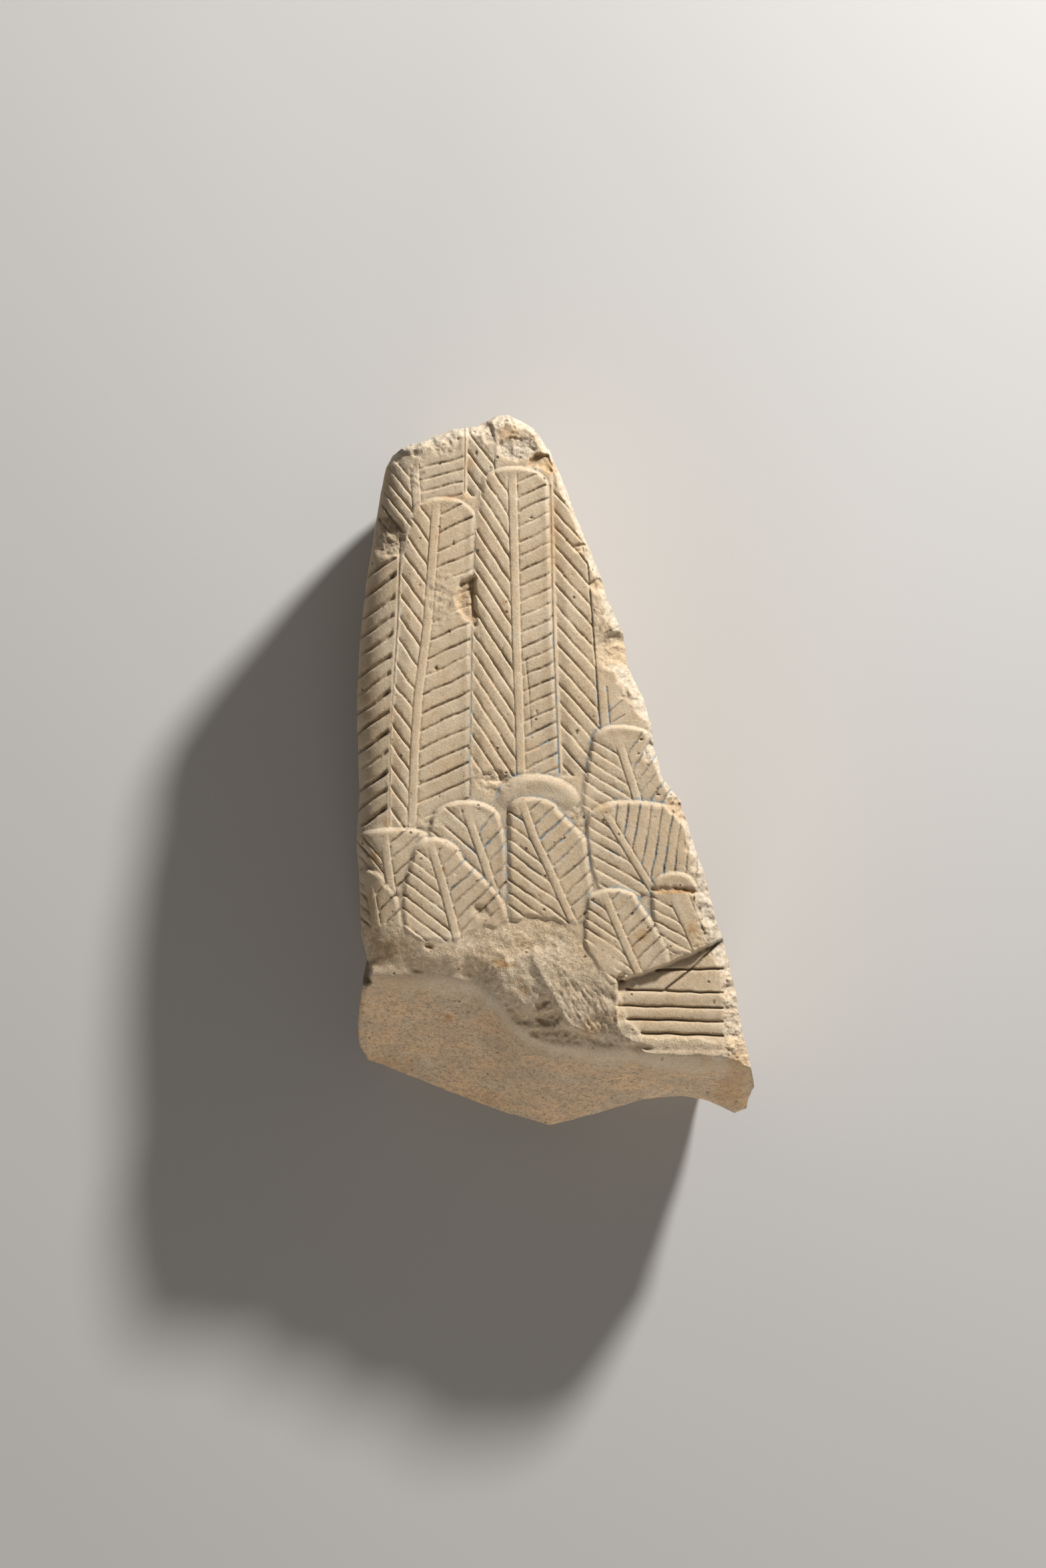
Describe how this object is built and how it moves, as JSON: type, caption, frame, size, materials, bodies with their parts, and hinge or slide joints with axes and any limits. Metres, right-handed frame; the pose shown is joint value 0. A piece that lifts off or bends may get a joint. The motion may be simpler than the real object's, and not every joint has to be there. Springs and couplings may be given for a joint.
{
  "type": "carved stone relief fragment",
  "caption": "Loose broken fragment of a fine limestone relief carved with overlapping wing feathers and a banded edge.",
  "frame": {"origin": "under the middle of the fragment's box, on the surface that it lies on", "axes": "+Z out of the carved face, +Y towards the feather tips, +X to the right as seen from the front"},
  "size_m": [0.0672, 0.12, 0.0411],
  "materials": {
    "limestone": "fine cream limestone, matt, worn, with brown stains and traces of light blue pigment in the grooves"
  },
  "bodies": {
    "root": {"stone_fragment": "limestone"}
  },
  "joints": []
}
